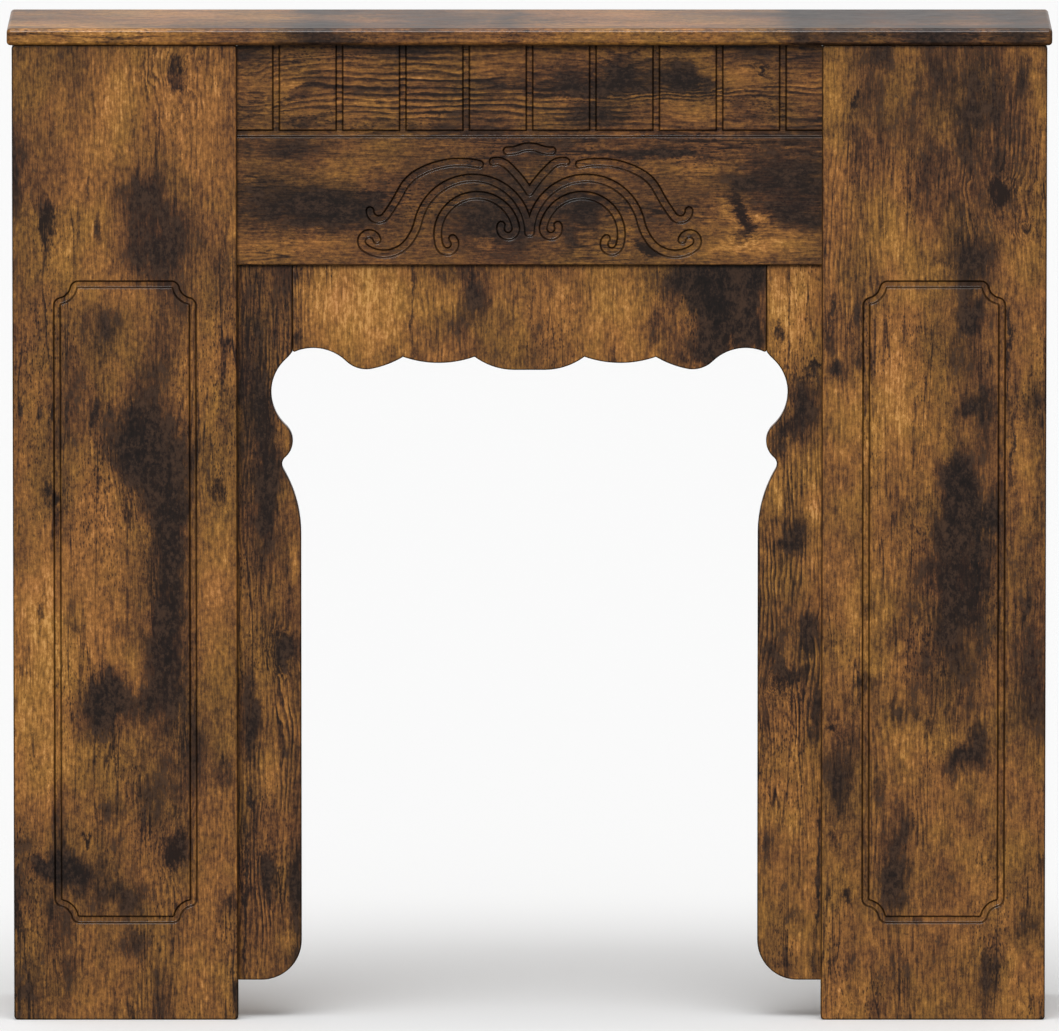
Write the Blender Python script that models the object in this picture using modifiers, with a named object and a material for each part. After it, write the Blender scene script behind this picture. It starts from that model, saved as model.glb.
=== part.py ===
"""Fireplace surround of flat boards with routed lines, modelled at real size in metres.

The front is -Y and up is +Z. The origin is on the floor, below the middle of the shelf.
"""
import math

import bmesh
import bpy
from mathutils import Matrix

# Overall sizes
WIDTH = 1.090  # across the outer faces of the side panels
HEIGHT = 1.055  # floor to the top of the shelf
DEPTH = 0.200  # front to back of the shelf
GAP = 0.0003  # left between boards that touch
FLATNESS = 0.0002  # how far a facet may cut inside its arc

# Shelf
SHELF_THICKNESS = 0.018
SHELF_SIDE_OVERHANG = 0.005
SHELF_FRONT_OVERHANG = 0.010
SHELF_EDGE_RADIUS = 0.003

# Pilasters, the two upright boards in front
PILASTER_WIDTH = 0.237
PILASTER_THICKNESS = 0.018
PILASTER_CORNER_RADIUS = 0.004
FACE_EDGE_RADIUS = 0.002

# Panel line routed into each pilaster, measured to its centreline
PANEL_SIDE_MARGIN = 0.047
PANEL_FOOT_MARGIN = 0.107
PANEL_HEAD_MARGIN = 0.254
PANEL_NOTCH_RADIUS = 0.018
PANEL_FILLET_RADIUS = 0.005

# Side panels
SIDE_PANEL_THICKNESS = 0.015

# Frieze, the thinner board between the pilasters
FRIEZE_HEIGHT = 0.235
FRIEZE_THICKNESS = 0.009
BEAD_RAIL_DROP = 0.095  # from the shelf down to the line under the beads
BEAD_PITCH = 0.0667

# Valance, the shaped board across the top of the opening
VALANCE_WIDTH = 0.500
OPENING_HEIGHT = 0.690  # floor to the lowest point of the valance
BACKING_THICKNESS = 0.012  # valance and jambs
BACKING_HEAD_LAP = 0.060  # how far they run up behind the frieze

# Jambs, the shaped boards beside the opening
JAMB_REACH = 0.009  # how far a jamb's straight edge stands in past the end of the valance
JAMB_PILASTER_LAP = 0.040  # how far a jamb runs behind its pilaster
JAMB_FOOT_CLEARANCE = 0.040
JAMB_FOOT_RADIUS = 0.0425
JAMB_SHAPE_RISE = 0.1935  # height of the shaped stretch of the edge
JAMB_SHAPE_DROP = 0.0018  # from the corner of the valance down to the top of that stretch
JAMB_JOINT = 0.0005

# Routed lines
GROOVE_DEPTH = 0.0036
PANEL_GROOVE_WIDTH = 0.0085
PANEL_GROOVE_FLOOR = 0.0049
ORNAMENT_GROOVE_WIDTH = 0.0096
ORNAMENT_GROOVE_FLOOR = 0.0060
CUTTER_PROUD = 0.0010  # how far a cutter stands out of the face

# Ornament on the frieze, drawn on squares of this side
ORNAMENT_SQUARE = 0.010
ORNAMENT_RISE = 0.078  # from the foot of the frieze up to the middle of the ornament

# Heights and places that follow from the sizes
SHELF_UNDERSIDE = HEIGHT - SHELF_THICKNESS
FACE_FRONT = -DEPTH / 2 + SHELF_FRONT_OVERHANG
FACE_BACK = FACE_FRONT + PILASTER_THICKNESS
FRIEZE_FRONT = FACE_BACK - FRIEZE_THICKNESS
BACKING_FRONT = FACE_BACK + GAP
FRIEZE_FOOT = SHELF_UNDERSIDE - FRIEZE_HEIGHT
FRIEZE_HALF = WIDTH / 2 - PILASTER_WIDTH - GAP
BACKING_HEAD = FRIEZE_FOOT + BACKING_HEAD_LAP

# Each step of a drawn line is a line with a length, an arc with a radius and a turn in degrees,
# or a corner with a turn. A turn to the left is positive.
# The valance's lower edge runs from the middle to the left, in shares of the valance's half width.
VALANCE_EDGE = (
    ("line", 0.063),
    ("arc", 0.283, -36.6),
    ("corner", 56.2),
    ("arc", 0.452, -39.0),
    ("corner", 50.1),
    ("arc", 0.419, -19.2),
    ("arc", 0.123, -55.5),
    ("arc", 0.200, 66.8),
)
# The jamb's shaped edge runs upwards, in shares of JAMB_SHAPE_RISE.
JAMB_EDGE = (
    ("arc", 0.703, 30.4),
    ("arc", 0.051, -79.6),
    ("arc", 0.118, 96.3),
    ("arc", 0.248, -94.6),
    ("arc", 0.232, 13.0),
)
# The ornament's left half: start, first heading and steps, in squares from its middle.
ORNAMENT_STRANDS = {
    "outer_scroll": ((-5.26, 2.92), 166.7, (
        ("arc", 8.96, 43.0), ("arc", 4.25, 33.2), ("arc", 20.4, -9.2), ("arc", 0.91, -145.6))),
    "long_scroll": ((-0.10, -4.31), 90.9, (
        ("arc", 5.88, 166.2), ("arc", 5.65, -24.7), ("arc", 3.31, -89.9), ("arc", 0.82, -222.0))),
    "heart_scroll": ((-8.10, -4.94), -45.0, (
        ("arc", 0.81, -191.4), ("arc", 1.57, -20.4), ("arc", 4.15, -182.5), ("arc", 0.81, -217.0))),
    "leaf": ((-3.82, 3.22), 13.1, (
        ("arc", 1.63, -56.1), ("arc", 14.4, -14.6))),
    "cap": ((-2.36, 4.36), -3.0, (
        ("arc", 3.00, 25.0), ("arc", 2.90, -22.0))),
}

COLOURS = {
    "mantel_shelf": (0.165, 0.083, 0.038),
    "pilaster_left": (0.136, 0.061, 0.024),
    "pilaster_right": (0.133, 0.063, 0.031),
    "side_panel_left": (0.120, 0.057, 0.026),
    "side_panel_right": (0.120, 0.057, 0.026),
    "frieze_panel": (0.087, 0.043, 0.023),
    "valance": (0.165, 0.079, 0.036),
    "jamb_left": (0.104, 0.048, 0.024),
    "jamb_right": (0.138, 0.065, 0.032),
}
ROUGHNESS = 0.45


def clear_scene():
    for item in list(bpy.data.objects):
        bpy.data.objects.remove(item, do_unlink=True)


def new_collection(name, parent):
    collection = bpy.data.collections.new(name)
    parent.children.link(collection)
    return collection


def move_to(item, collection):
    for owner in list(item.users_collection):
        owner.objects.unlink(item)
    collection.objects.link(item)


def walk(start, heading, steps, unit=1.0):
    """Return the points of a drawn line, with every length and radius multiplied by unit."""
    x, z = start
    angle = math.radians(heading)
    points = [(x, z)]
    for kind, *values in steps:
        if kind == "corner":
            angle += math.radians(values[0])
        elif kind == "line":
            x += values[0] * unit * math.cos(angle)
            z += values[0] * unit * math.sin(angle)
            points.append((x, z))
        else:
            radius = values[0] * unit
            turn = math.radians(values[1])
            side = math.copysign(1.0, turn)
            middle_x = x - side * radius * math.sin(angle)
            middle_z = z + side * radius * math.cos(angle)
            facet = 2 * math.acos(max(0.8, 1 - FLATNESS / radius))
            count = max(2, math.ceil(abs(turn) / facet))
            for step in range(1, count + 1):
                a = angle + turn * step / count
                across = side * radius * math.sin(a)
                up = -side * radius * math.cos(a)
                points.append((middle_x + across, middle_z + up))
            x, z = points[-1]
            angle += turn
    return points


def flip(points):
    """Mirror an outline left to right."""
    return [(-x, z) for x, z in reversed(points)]


def rounded_rectangle(left, right, foot, head, radius):
    corner = ("arc", radius, 90)
    across = ("line", right - left - 2 * radius)
    up = ("line", head - foot - 2 * radius)
    return walk((left + radius, foot), 0, (across, corner, up, corner, across, corner, up, corner))[:-1]


def drawn_curve(name, points, closed, collection):
    """Make a flat curve that stands in the XZ plane with its face to -Y."""
    curve = bpy.data.curves.new(name, "CURVE")
    curve.dimensions = "2D"
    spline = curve.splines.new("POLY")
    spline.points.add(len(points) - 1)
    for point, (x, z) in zip(spline.points, points):
        point.co = (x, z, 0, 1)
    spline.use_cyclic_u = closed
    item = bpy.data.objects.new(name, curve)
    item.rotation_euler.x = math.pi / 2
    collection.objects.link(item)
    return item


def curve_to_mesh(item, collection):
    """Replace a curve with a welded mesh object in the same place."""
    bpy.context.view_layer.update()
    evaluated = item.evaluated_get(bpy.context.evaluated_depsgraph_get())
    mesh = bpy.data.meshes.new_from_object(evaluated)
    shape = bmesh.new()
    shape.from_mesh(mesh)
    bmesh.ops.remove_doubles(shape, verts=shape.verts, dist=0.00001)
    bmesh.ops.dissolve_limit(shape, angle_limit=0.0005, verts=shape.verts, edges=shape.edges)
    bmesh.ops.recalc_face_normals(shape, faces=shape.faces)
    shape.to_mesh(mesh)
    shape.free()
    name = item.name
    place = item.matrix_world.copy()
    bpy.data.objects.remove(item, do_unlink=True)
    solid = bpy.data.objects.new(name, mesh)
    solid.matrix_world = place
    collection.objects.link(solid)
    return solid


def round_front_edges(item, thickness, radius, lowest_only=False):
    """Round the edges around the front face, or only the edge along its foot."""
    shape = bmesh.new()
    shape.from_mesh(item.data)
    foot = min(vert.co.y for vert in shape.verts)
    edges = []
    for edge in shape.edges:
        on_front = all(vert.co.z > thickness / 2 - 1e-5 for vert in edge.verts)
        on_foot = all(vert.co.y < foot + 1e-5 for vert in edge.verts)
        if on_front and len(edge.link_faces) == 2 and edge.calc_face_angle() > 1.0:
            if on_foot or not lowest_only:
                edges.append(edge)
    bmesh.ops.bevel(shape, geom=edges, offset=radius, segments=2, profile=0.5, affect="EDGES")
    shape.to_mesh(item.data)
    shape.free()


def shaped_board(name, outline, front, thickness, edge_radius, collection, lowest_only=False):
    """Extrude an outline into a board whose front face is at front."""
    item = drawn_curve(name, outline, True, collection)
    item.data.fill_mode = "BOTH"
    item.data.extrude = thickness / 2
    item.location.y = front + thickness / 2
    solid = curve_to_mesh(item, collection)
    round_front_edges(solid, thickness, edge_radius, lowest_only)
    return solid


def box_board(name, low, high, collection):
    """Make a plain board from its lowest and highest corners."""
    bpy.ops.mesh.primitive_cube_add(size=1, location=[(a + b) / 2 for a, b in zip(low, high)])
    item = bpy.context.object
    item.name = name
    item.data.name = name
    item.data.transform(Matrix.Diagonal((*(b - a for a, b in zip(low, high)), 1.0)))
    move_to(item, collection)
    return item


def hide_cutter(item):
    item.hide_render = True
    item.display_type = "WIRE"


def groove_profile(name, width, floor, collection):
    """Draw the cutter's section: a flat floor, sloped walls and a part that stands out of the face."""
    lean = (width - floor) / 2 / GROOVE_DEPTH
    top = width / 2 + lean * CUTTER_PROUD
    right = [(floor / 2, -GROOVE_DEPTH), (top, CUTTER_PROUD)]
    section = right + flip(right)
    item = drawn_curve(name, section, True, collection)
    hide_cutter(item)
    return item


def groove_cutter(name, points, section, front, closed, collection):
    """Sweep the section along a drawn line at the face of a board."""
    item = drawn_curve(name, points, closed, collection)
    item.data.fill_mode = "NONE"
    item.data.bevel_mode = "OBJECT"
    item.data.bevel_object = section
    item.data.use_fill_caps = not closed
    item.location.y = front
    solid = curve_to_mesh(item, collection)
    hide_cutter(solid)
    return solid


def round_end(name, place, width, floor, front, collection):
    """Make the cone that a turning bit leaves at the end of a line."""
    lean = (width - floor) / 2 / GROOVE_DEPTH
    bpy.ops.mesh.primitive_cone_add(
        vertices=16,
        radius1=floor / 2,
        radius2=width / 2 + lean * CUTTER_PROUD,
        depth=GROOVE_DEPTH + CUTTER_PROUD,
        location=(place[0], front + (GROOVE_DEPTH - CUTTER_PROUD) / 2, place[1]),
        rotation=(math.pi / 2, 0, 0),
    )
    item = bpy.context.object
    item.name = name
    move_to(item, collection)
    hide_cutter(item)


def cut(item, cutters):
    """Take every cutter of a collection out of a board."""
    modifier = item.modifiers.new("routed lines", "BOOLEAN")
    modifier.operation = "DIFFERENCE"
    modifier.solver = "EXACT"
    modifier.operand_type = "COLLECTION"
    modifier.collection = cutters


def make_shelf(parts):
    half = WIDTH / 2 + SHELF_SIDE_OVERHANG
    low = (-half, -DEPTH / 2, SHELF_UNDERSIDE)
    high = (half, DEPTH / 2, HEIGHT)
    shelf = box_board("mantel_shelf", low, high, parts)
    rounding = shelf.modifiers.new("rounded edges", "BEVEL")
    rounding.width = SHELF_EDGE_RADIUS
    rounding.segments = 3
    rounding.limit_method = "ANGLE"


def make_side_panels(parts):
    for side, label in ((-1, "left"), (1, "right")):
        outer = side * WIDTH / 2
        inner = side * (WIDTH / 2 - SIDE_PANEL_THICKNESS)
        low = (min(outer, inner), BACKING_FRONT, 0)
        high = (max(outer, inner), DEPTH / 2, SHELF_UNDERSIDE - GAP)
        box_board("side_panel_" + label, low, high, parts)


def panel_line():
    """Draw the closed line on the left pilaster: a rectangle with its corners notched inwards."""
    left = -WIDTH / 2 + PANEL_SIDE_MARGIN
    width = PILASTER_WIDTH - 2 * PANEL_SIDE_MARGIN
    foot = PANEL_FOOT_MARGIN
    height = SHELF_UNDERSIDE - PANEL_HEAD_MARGIN - foot
    notch = PANEL_NOTCH_RADIUS
    fillet = PANEL_FILLET_RADIUS
    reach = math.sqrt((notch + fillet) ** 2 - fillet ** 2)
    turn = 90 - math.degrees(math.atan2(fillet, reach))
    corner = (("arc", fillet, turn), ("arc", notch, 90 - 2 * turn), ("arc", fillet, turn))
    across = ("line", width - 2 * reach)
    up = ("line", height - 2 * reach)
    steps = (across, *corner, up, *corner, across, *corner, up, *corner)
    return walk((left + reach, foot), 0, steps)[:-1]


def make_pilasters(parts, cutters):
    head = SHELF_UNDERSIDE - GAP
    outline = rounded_rectangle(-WIDTH / 2, -WIDTH / 2 + PILASTER_WIDTH, 0, head, PILASTER_CORNER_RADIUS)
    section = groove_profile("panel_bit", PANEL_GROOVE_WIDTH, PANEL_GROOVE_FLOOR, cutters)
    line = panel_line()
    for label, face, route in (("left", outline, line), ("right", flip(outline), flip(line))):
        name = "pilaster_" + label
        board = shaped_board(name, face, FACE_FRONT, PILASTER_THICKNESS, FACE_EDGE_RADIUS, parts)
        group = new_collection(name + "_cutters", cutters)
        groove_cutter("panel_line_" + label, route, section, FACE_FRONT, True, group)
        cut(board, group)


def cut_beads(group, section):
    """Rout the line under the beads and the upright lines between them."""
    rail = SHELF_UNDERSIDE - BEAD_RAIL_DROP
    past = 2 * PANEL_GROOVE_WIDTH
    across = [(-FRIEZE_HALF - past, rail), (FRIEZE_HALF + past, rail)]
    groove_cutter("bead_rail", across, section, FRIEZE_FRONT, False, group)
    count = int((FRIEZE_HALF - PANEL_GROOVE_WIDTH) / BEAD_PITCH)
    for index in range(-count, count + 1):
        x = index * BEAD_PITCH
        upright = [(x, rail), (x, SHELF_UNDERSIDE + past)]
        groove_cutter("bead_line_%d" % (index + count), upright, section, FRIEZE_FRONT, False, group)


def cut_ornament(group, section):
    """Rout the strands of the ornament and their mirror images."""
    middle = FRIEZE_FOOT + ORNAMENT_RISE
    for label, (start, heading, steps) in ORNAMENT_STRANDS.items():
        place = (start[0] * ORNAMENT_SQUARE, middle + start[1] * ORNAMENT_SQUARE)
        left = walk(place, heading, steps, ORNAMENT_SQUARE)
        for side, points in (("left", left), ("right", flip(left))):
            name = "%s_%s" % (label, side)
            groove_cutter(name, points, section, FRIEZE_FRONT, False, group)
            for end, point in (("a", points[0]), ("b", points[-1])):
                round_end(name + "_end_" + end, point, ORNAMENT_GROOVE_WIDTH, ORNAMENT_GROOVE_FLOOR,
                          FRIEZE_FRONT, group)


def make_frieze(parts, cutters):
    head = SHELF_UNDERSIDE - GAP
    right = [(FRIEZE_HALF, FRIEZE_FOOT), (FRIEZE_HALF, head)]
    outline = right + flip(right)
    radius = FACE_EDGE_RADIUS
    board = shaped_board("frieze_panel", outline, FRIEZE_FRONT, FRIEZE_THICKNESS, radius, parts, True)
    group = new_collection("frieze_cutters", cutters)
    bead_bit = groove_profile("bead_bit", PANEL_GROOVE_WIDTH, PANEL_GROOVE_FLOOR, cutters)
    cut_beads(group, bead_bit)
    scroll_bit = groove_profile("scroll_bit", ORNAMENT_GROOVE_WIDTH, ORNAMENT_GROOVE_FLOOR, cutters)
    cut_ornament(group, scroll_bit)
    cut(board, group)


def valance_edge():
    """Return the valance's lower edge from the middle to its left end."""
    half = VALANCE_WIDTH / 2
    points = walk((0, OPENING_HEIGHT), 180, VALANCE_EDGE, half)
    corner = FACE_EDGE_RADIUS
    z = points[-1][1]
    points += walk((-half + corner, z), 180, (("arc", corner, -90),))
    return points


def make_valance(parts):
    half = VALANCE_WIDTH / 2
    edge = valance_edge()
    left = edge + [(-half, BACKING_HEAD)]
    outline = left[::-1] + [(-x, z) for x, z in left[1:]]
    shaped_board("valance", outline, BACKING_FRONT, BACKING_THICKNESS, FACE_EDGE_RADIUS, parts)


def make_jambs(parts):
    edge_x = VALANCE_WIDTH / 2 - JAMB_REACH
    head_x = VALANCE_WIDTH / 2 + JAMB_JOINT
    outer_x = WIDTH / 2 - PILASTER_WIDTH + JAMB_PILASTER_LAP
    shape_foot = valance_edge()[-1][1] - JAMB_SHAPE_DROP - JAMB_SHAPE_RISE
    foot = JAMB_FOOT_CLEARANCE
    outline = [(-outer_x, BACKING_HEAD), (-outer_x, foot)]
    outline += walk((-edge_x - JAMB_FOOT_RADIUS, foot), 0, (("arc", JAMB_FOOT_RADIUS, 90),))
    outline += walk((-edge_x, shape_foot), 90, JAMB_EDGE, JAMB_SHAPE_RISE)
    outline += [(-head_x, outline[-1][1]), (-head_x, BACKING_HEAD)]
    for label, face in (("left", outline), ("right", flip(outline))):
        shaped_board("jamb_" + label, face, BACKING_FRONT, BACKING_THICKNESS, FACE_EDGE_RADIUS, parts)


def paint(parts):
    """Give each board its own printed wood colour."""
    for item in parts.objects:
        material = bpy.data.materials.new(item.name + "_wood")
        material.use_nodes = True
        shader = material.node_tree.nodes["Principled BSDF"]
        shader.inputs["Base Color"].default_value = (*COLOURS[item.name], 1.0)
        shader.inputs["Roughness"].default_value = ROUGHNESS
        shader.inputs["Metallic"].default_value = 0.0
        item.data.materials.clear()
        item.data.materials.append(material)


def main():
    clear_scene()
    parts = new_collection("fireplace_surround", bpy.context.scene.collection)
    cutters = new_collection("cutters", bpy.context.scene.collection)
    make_shelf(parts)
    make_side_panels(parts)
    make_pilasters(parts, cutters)
    make_frieze(parts, cutters)
    make_valance(parts)
    make_jambs(parts)
    paint(parts)


main()
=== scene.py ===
# %% [markdown]
# A fireplace surround of flat boards covered with a film that is printed as old brown wood. The boards'
# sizes and places come from the fixed frame, so this script only gives them their fine edges, their softly
# rounded routed lines and their printed finish, and then sets up a plain studio around them.

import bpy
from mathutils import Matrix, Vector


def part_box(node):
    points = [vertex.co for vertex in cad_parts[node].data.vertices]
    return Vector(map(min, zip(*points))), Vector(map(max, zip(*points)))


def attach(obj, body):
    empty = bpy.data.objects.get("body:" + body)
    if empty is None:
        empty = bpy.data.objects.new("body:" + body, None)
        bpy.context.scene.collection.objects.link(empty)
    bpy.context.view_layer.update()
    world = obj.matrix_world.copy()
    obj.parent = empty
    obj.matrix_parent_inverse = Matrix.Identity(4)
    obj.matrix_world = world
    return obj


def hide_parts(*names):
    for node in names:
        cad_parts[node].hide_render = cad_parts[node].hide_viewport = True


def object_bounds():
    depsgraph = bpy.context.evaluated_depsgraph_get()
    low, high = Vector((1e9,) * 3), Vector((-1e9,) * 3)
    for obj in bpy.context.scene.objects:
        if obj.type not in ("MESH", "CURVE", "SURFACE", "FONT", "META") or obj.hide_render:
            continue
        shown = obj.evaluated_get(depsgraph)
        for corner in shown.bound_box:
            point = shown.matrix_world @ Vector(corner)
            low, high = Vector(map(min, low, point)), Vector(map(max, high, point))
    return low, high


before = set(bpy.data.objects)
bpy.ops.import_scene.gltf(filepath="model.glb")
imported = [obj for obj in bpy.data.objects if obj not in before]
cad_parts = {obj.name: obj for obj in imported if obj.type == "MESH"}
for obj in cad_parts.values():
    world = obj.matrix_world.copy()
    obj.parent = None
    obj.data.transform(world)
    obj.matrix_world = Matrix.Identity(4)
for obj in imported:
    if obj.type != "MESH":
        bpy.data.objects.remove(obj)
cad_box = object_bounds()
print("frame nodes:", ", ".join(sorted(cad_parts)))

# %% [markdown]
# Blender's objects, materials and lamps are reached through bpy, and bmesh edits a mesh face by face.
# Places and directions are vectors, so they can be added and compared in one step.

# %% Modules
import math

import bmesh
import bpy
from mathutils import Matrix, Vector

print("Blender", bpy.app.version_string)

# %% [markdown]
# The surround is seen square from the front, from a little above the shelf, so that a thin strip of the
# shelf's top shows. A long lens far away keeps the upright boards parallel without shifting the lens. The
# height follows from the angle at which the top of the shelf is seen.

# %% Camera
PHOTO_WIDTH = 1059  # pixels
SHELF_PIXELS = 1046  # width of the shelf's front edge in the picture
SENSOR_WIDTH = 36.0  # mm
CAMERA_DISTANCE = 24.0
TOP_SLOPE = 0.1045  # how steeply the camera looks down on the top of the shelf
AIM_RISE = 0.0115  # from the middle of the front up to the middle of the picture
FARTHEST_SEEN = 200


def new_object(name, data):
    """Put a new object in the scene."""
    item = bpy.data.objects.new(name, data)
    bpy.context.scene.collection.objects.link(item)
    return item


low, high = cad_box
shelf_low, shelf_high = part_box("mantel_shelf")
camera_data = bpy.data.cameras.new("camera")
camera = new_object("camera", camera_data)
camera.location = (0, low.y - CAMERA_DISTANCE, high.z + CAMERA_DISTANCE * TOP_SLOPE)
aim = Vector((0, low.y, (low.z + high.z) / 2 + AIM_RISE))
sight = (aim - camera.location).normalized()
camera.rotation_euler = sight.to_track_quat("-Z", "Y").to_euler()
shelf_depth = (Vector((0, low.y, high.z)) - camera.location).dot(sight)
pixels_per_metre = SHELF_PIXELS / (shelf_high.x - shelf_low.x)
camera_data.sensor_width = SENSOR_WIDTH
camera_data.lens = SENSOR_WIDTH * pixels_per_metre * shelf_depth / PHOTO_WIDTH
camera_data.clip_end = FARTHEST_SEEN
bpy.context.scene.camera = camera
print("lens %.0f mm at %.2f m height" % (camera_data.lens, camera.location.z))

# %% [markdown]
# The floor is one large pale sheet, which also makes the background of the picture, because the camera
# looks down a little. It throws no light back up, because that would fill the dark routed lines.

# %% Floor
FLOOR_SIZE = 120
FLOOR_TONE = 0.92
FLOOR_ROUGHNESS = 0.9
FLOOR_GLOSS = 0.1

bpy.ops.mesh.primitive_plane_add(size=FLOOR_SIZE, location=(0, 0, low.z))
floor = bpy.context.object
floor.name = "floor"
floor.visible_diffuse = False
floor.visible_glossy = False
floor_paint = bpy.data.materials.new("pale_floor")
floor_paint.use_nodes = True
floor_shader = floor_paint.node_tree.nodes["Principled BSDF"]
floor_shader.inputs["Base Color"].default_value = (FLOOR_TONE, FLOOR_TONE, FLOOR_TONE, 1)
floor_shader.inputs["Roughness"].default_value = FLOOR_ROUGHNESS
floor_shader.inputs["Specular IOR Level"].default_value = FLOOR_GLOSS
floor.data.materials.append(floor_paint)
print("floor of", FLOOR_SIZE, "m, with", len(floor.data.polygons), "face")

# %% [markdown]
# The light is soft. The key comes from the front, 25 degrees up: low enough to reach under the shelf's
# small overhang, high enough to leave the upper wall of every routed line dark and the lower one bright. It
# lights the boards alone, so no long shadow falls on the floor behind them. A lamp behind on the right
# brings out the side and the back. A lamp overhead lights the shelf's top and the floor, and a faint one
# evens the floor out.

# %% Lamps
def sun(name, azimuth, elevation, width, strength, lights_only=None):
    """Add a distant lamp. Azimuth counts from the front to the right, and width is its size in degrees."""
    data = bpy.data.lights.new(name, "SUN")
    data.angle = math.radians(width)
    data.energy = math.pi * strength
    lamp = new_object(name, data)
    flat = math.cos(math.radians(elevation))
    right, front = math.sin(math.radians(azimuth)), math.cos(math.radians(azimuth))
    towards = Vector((flat * right, -flat * front, math.sin(math.radians(elevation))))
    lamp.rotation_euler = towards.to_track_quat("Z", "Y").to_euler()
    if lights_only is not None:
        lamp.light_linking.receiver_collection = lights_only


lit_boards = bpy.data.collections.new("lit_boards")
lit_floor = bpy.data.collections.new("lit_floor")
lit_floor.objects.link(floor)
sun("key_sun", azimuth=-8, elevation=25, width=26, strength=0.85, lights_only=lit_boards)
sun("back_sun", azimuth=125, elevation=35, width=30, strength=0.34, lights_only=lit_boards)
sun("top_sun", azimuth=-20, elevation=78, width=50, strength=0.74)
sun("floor_sun", azimuth=0, elevation=70, width=60, strength=0.10, lights_only=lit_floor)

# %% [markdown]
# The room is a plain grey that depends on height alone. It is bright around the horizon, where the gloss on
# top of the shelf finds its reflection, and nearly dark below, so that nothing shines up into the routed
# lines.

# %% Surroundings
SURROUNDINGS = (
    (-1.0, 0.05), (-0.09, 0.05), (-0.04, 0.90), (0.05, 0.90), (0.16, 0.42), (0.50, 0.22), (1.0, 0.20))


def studio_world(stops):
    """Make a surrounding whose brightness depends on height alone: (sine of the elevation, brightness)."""
    world = bpy.data.worlds.new("studio")
    world.use_nodes = True
    nodes, links = world.node_tree.nodes, world.node_tree.links
    split = nodes.new("ShaderNodeSeparateXYZ")
    links.new(nodes.new("ShaderNodeTexCoord").outputs["Generated"], split.inputs[0])
    height = nodes.new("ShaderNodeMapRange")
    height.inputs["From Min"].default_value = -1
    links.new(split.outputs["Z"], height.inputs["Value"])
    ramp = nodes.new("ShaderNodeValToRGB")
    while len(ramp.color_ramp.elements) < len(stops):
        ramp.color_ramp.elements.new(0.5)
    for element, (sine, brightness) in zip(ramp.color_ramp.elements, stops):
        element.position = (sine + 1) / 2
        element.color = (brightness, brightness, brightness, 1)
    links.new(height.outputs[0], ramp.inputs[0])
    links.new(ramp.outputs[0], nodes["Background"].inputs["Color"])
    return world


bpy.context.scene.world = studio_world(SURROUNDINGS)
bpy.context.scene.view_settings.view_transform = "Standard"
print("surroundings in", len(SURROUNDINGS), "steps of height")

# %% [markdown]
# Every shaped edge and every routed line on the real boards is cut by a machine that follows straight runs
# and arcs. The same few steps can be walked here: a line with a length, an arc with a radius and a turn in
# degrees, or a corner with a turn, where a turn to the left is positive. Points along the arcs follow from
# how far a facet may cut inside its arc, so a tight curl gets short facets and a wide bow gets long ones.

# %% Walking a drawn line
FLATNESS = 0.00003  # how far a facet may cut inside its arc
COARSEST = 0.9  # cosine of half the widest facet
FEWEST_FACETS = 2


def walk(start, heading, steps, unit=1.0):
    """Return the points of a drawn line, with every length and radius multiplied by unit."""
    x, z = start
    angle = math.radians(heading)
    points = [(x, z)]
    for kind, *values in steps:
        if kind == "corner":
            angle += math.radians(values[0])
        elif kind == "line":
            x += values[0] * unit * math.cos(angle)
            z += values[0] * unit * math.sin(angle)
            points.append((x, z))
        else:
            radius = values[0] * unit
            turn = math.radians(values[1])
            side = math.copysign(1.0, turn)
            middle_x = x - side * radius * math.sin(angle)
            middle_z = z + side * radius * math.cos(angle)
            facet = 2 * math.acos(max(COARSEST, 1 - FLATNESS / radius))
            count = max(FEWEST_FACETS, math.ceil(abs(turn) / facet))
            for step in range(1, count + 1):
                heading_here = angle + turn * step / count
                across = side * radius * math.sin(heading_here)
                up = -side * radius * math.cos(heading_here)
                points.append((middle_x + across, middle_z + up))
            x, z = points[-1]
            angle += turn
    return points


def flip(points):
    """Mirror an outline left to right."""
    return [(-x, z) for x, z in reversed(points)]


print("a quarter turn of 18 mm takes", len(walk((0, 0), 0, (("arc", 0.018, 90),))) - 1, "facets")

# %% [markdown]
# A board is an outline with thickness: one many-sided face in front, one behind, and a strip of faces
# between them. The front edges are then rounded with a bevel, because the film can't be wrapped over a
# sharp edge. The back edges stay square.

# %% Making a board from its outline
SAME_PLACE = 0.00001
RIM_ANGLE = 1.0  # two faces that meet at more than this, in radians, make a rim
ROUNDING_FACETS = 5


def solid_from(name, shape):
    """Turn a finished shape into an object, with its faces pointing out."""
    bmesh.ops.recalc_face_normals(shape, faces=shape.faces)
    mesh = bpy.data.meshes.new(name)
    shape.to_mesh(mesh)
    shape.free()
    return new_object(name, mesh)


def round_edges(item, radius, chosen):
    """Round the edges that pass the test."""
    shape = bmesh.new()
    shape.from_mesh(item.data)
    edges = [edge for edge in shape.edges if chosen(edge)]
    bmesh.ops.bevel(shape, geom=edges, offset=radius, segments=ROUNDING_FACETS, profile=0.5, affect="EDGES")
    shape.to_mesh(item.data)
    shape.free()


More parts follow.
